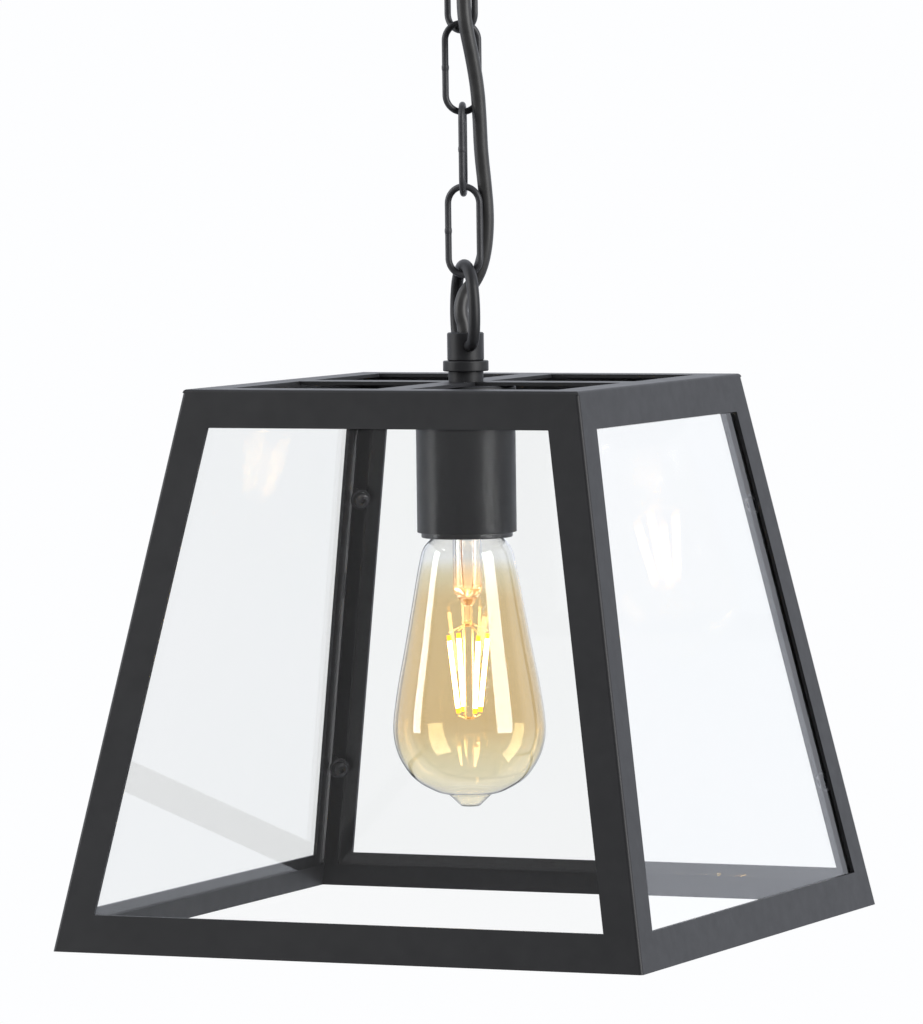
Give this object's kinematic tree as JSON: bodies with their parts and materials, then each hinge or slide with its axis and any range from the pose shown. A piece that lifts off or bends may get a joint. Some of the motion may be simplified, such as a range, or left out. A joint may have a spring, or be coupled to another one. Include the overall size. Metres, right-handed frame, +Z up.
{
  "type": "hanging lantern",
  "caption": "Tapered steel-angle lantern with clear glass sides, open below, hung from a ceiling canopy by a short chain with a flex woven beside it and a teardrop filament bulb inside.",
  "frame": {"origin": "on the ceiling face, on the lantern's vertical axis", "axes": "+Z up, +X to the lantern's right, -Y to its front; the four glass sides face +X, -X, +Y and -Y"},
  "size_m": [0.2624, 0.2624, 0.483],
  "materials": {
    "cage_black": "black powder coat, satin",
    "chain_black": "black lacquer, satin",
    "flex_black": "black PVC sheath",
    "holder_black": "moulded phenolic, satin",
    "porcelain": "white glaze",
    "brass": "bright",
    "zinc_steel": "zinc plated",
    "clamp_steel": "nickel plated",
    "pane_glass": "clear float glass",
    "cream_plastic": "moulded",
    "nickel_cap": "bright nickel",
    "black_glass": "black vitrite",
    "amber_glass": "blown glass, amber tint",
    "stem_glass": "clear glass",
    "filament": "glowing phosphor",
    "lead_wire": "nickel wire"
  },
  "bodies": {
    "ceiling": {"ceiling_strap": "zinc_steel", "canopy": "cage_black", "canopy_screws": "cage_black", "terminal_block": "cream_plastic", "canopy_nut": "zinc_steel", "upper_nipple": "zinc_steel", "upper_locknut": "cage_black", "upper_barrel": "cage_black", "upper_loop": "cage_black", "flex_tail_top": "flex_black", "flex_1": "flex_black"},
    "link_a": {"link_a": "chain_black", "flex_2": "flex_black"},
    "link_b": {"link_b": "chain_black", "flex_3": "flex_black"},
    "link_c": {"link_c": "chain_black", "flex_4": "flex_black"},
    "link_d": {"link_d": "chain_black", "flex_5": "flex_black"},
    "bulb_thread": {"bulb_contact": "nickel_cap"},
    "bulb": {"bulb_cap": "nickel_cap", "bulb_cap_insulator": "black_glass", "bulb_glass": "amber_glass", "bulb_stem": "stem_glass", "bulb_filaments": "filament", "bulb_leads": "lead_wire"},
    "lantern": {"post_rear_right": "cage_black", "post_rear_left": "cage_black", "post_front_left": "cage_black", "post_front_right": "cage_black", "top_rail_front": "cage_black", "top_rail_right": "cage_black", "top_rail_rear": "cage_black", "top_rail_left": "cage_black", "bottom_rail_front": "cage_black", "bottom_rail_right": "cage_black", "bottom_rail_rear": "cage_black", "bottom_rail_left": "cage_black", "cross_bar_long": "cage_black", "cross_bar_halves": "cage_black", "holder_cup": "cage_black", "lower_locknut": "cage_black", "lower_barrel": "cage_black", "lower_loop": "cage_black", "flex_tail_bottom": "flex_black", "holder_dome": "holder_black", "holder_skirt": "holder_black", "holder_insert": "porcelain", "thread_shell": "brass", "centre_contact": "brass", "holder_terminals": "brass", "holder_nut": "zinc_steel", "lower_nipple": "zinc_steel", "glass_screws": "clamp_steel", "glass_washers": "clamp_steel", "glass_front": "pane_glass", "glass_right": "pane_glass", "glass_rear": "pane_glass", "glass_left": "pane_glass"}
  },
  "joints": [
    {"name": "link_a_swing", "type": "hinge", "parent": "ceiling", "child": "link_a", "pos_m": [0, 0, -0.07394], "axis": [0.1736, 0.9848, 0], "range_deg": [-15, 15], "deforming": ["flex_1"]},
    {"name": "link_b_swing", "type": "hinge", "parent": "link_a", "child": "link_b", "pos_m": [0, 0, -0.10686], "axis": [0.9703, -0.2419, 0], "range_deg": [-15, 15], "deforming": ["flex_2"]},
    {"name": "link_c_swing", "type": "hinge", "parent": "link_b", "child": "link_c", "pos_m": [0, 0, -0.14081], "axis": [-0.788, -0.6157, 0], "range_deg": [-15, 15], "deforming": ["flex_3"]},
    {"name": "link_d_swing", "type": "hinge", "parent": "link_c", "child": "link_d", "pos_m": [0, 0, -0.17486], "axis": [0.342, -0.9397, 0], "range_deg": [-15, 15], "deforming": ["flex_4"]},
    {"name": "lantern_swing", "type": "hinge", "parent": "link_d", "child": "lantern", "pos_m": [0, 0, -0.20891], "axis": [0.9998, 0.0175, 0], "range_deg": [-15, 15], "deforming": ["flex_5"]},
    {"name": "bulb_lower", "type": "slide", "parent": "lantern", "child": "bulb_thread", "axis": [0, 0, -1], "range_m": [0, 0.0218]},
    {"name": "bulb_turn", "type": "hinge", "parent": "bulb_thread", "child": "bulb", "pos_m": [0, 0, -0.3], "axis": [0, 0, -1], "range_deg": [0, 2160]}
  ],
  "couplings": [
    {"joint": "bulb_lower", "follows": "bulb_turn", "m_per_rad": 0.00057757}
  ]
}
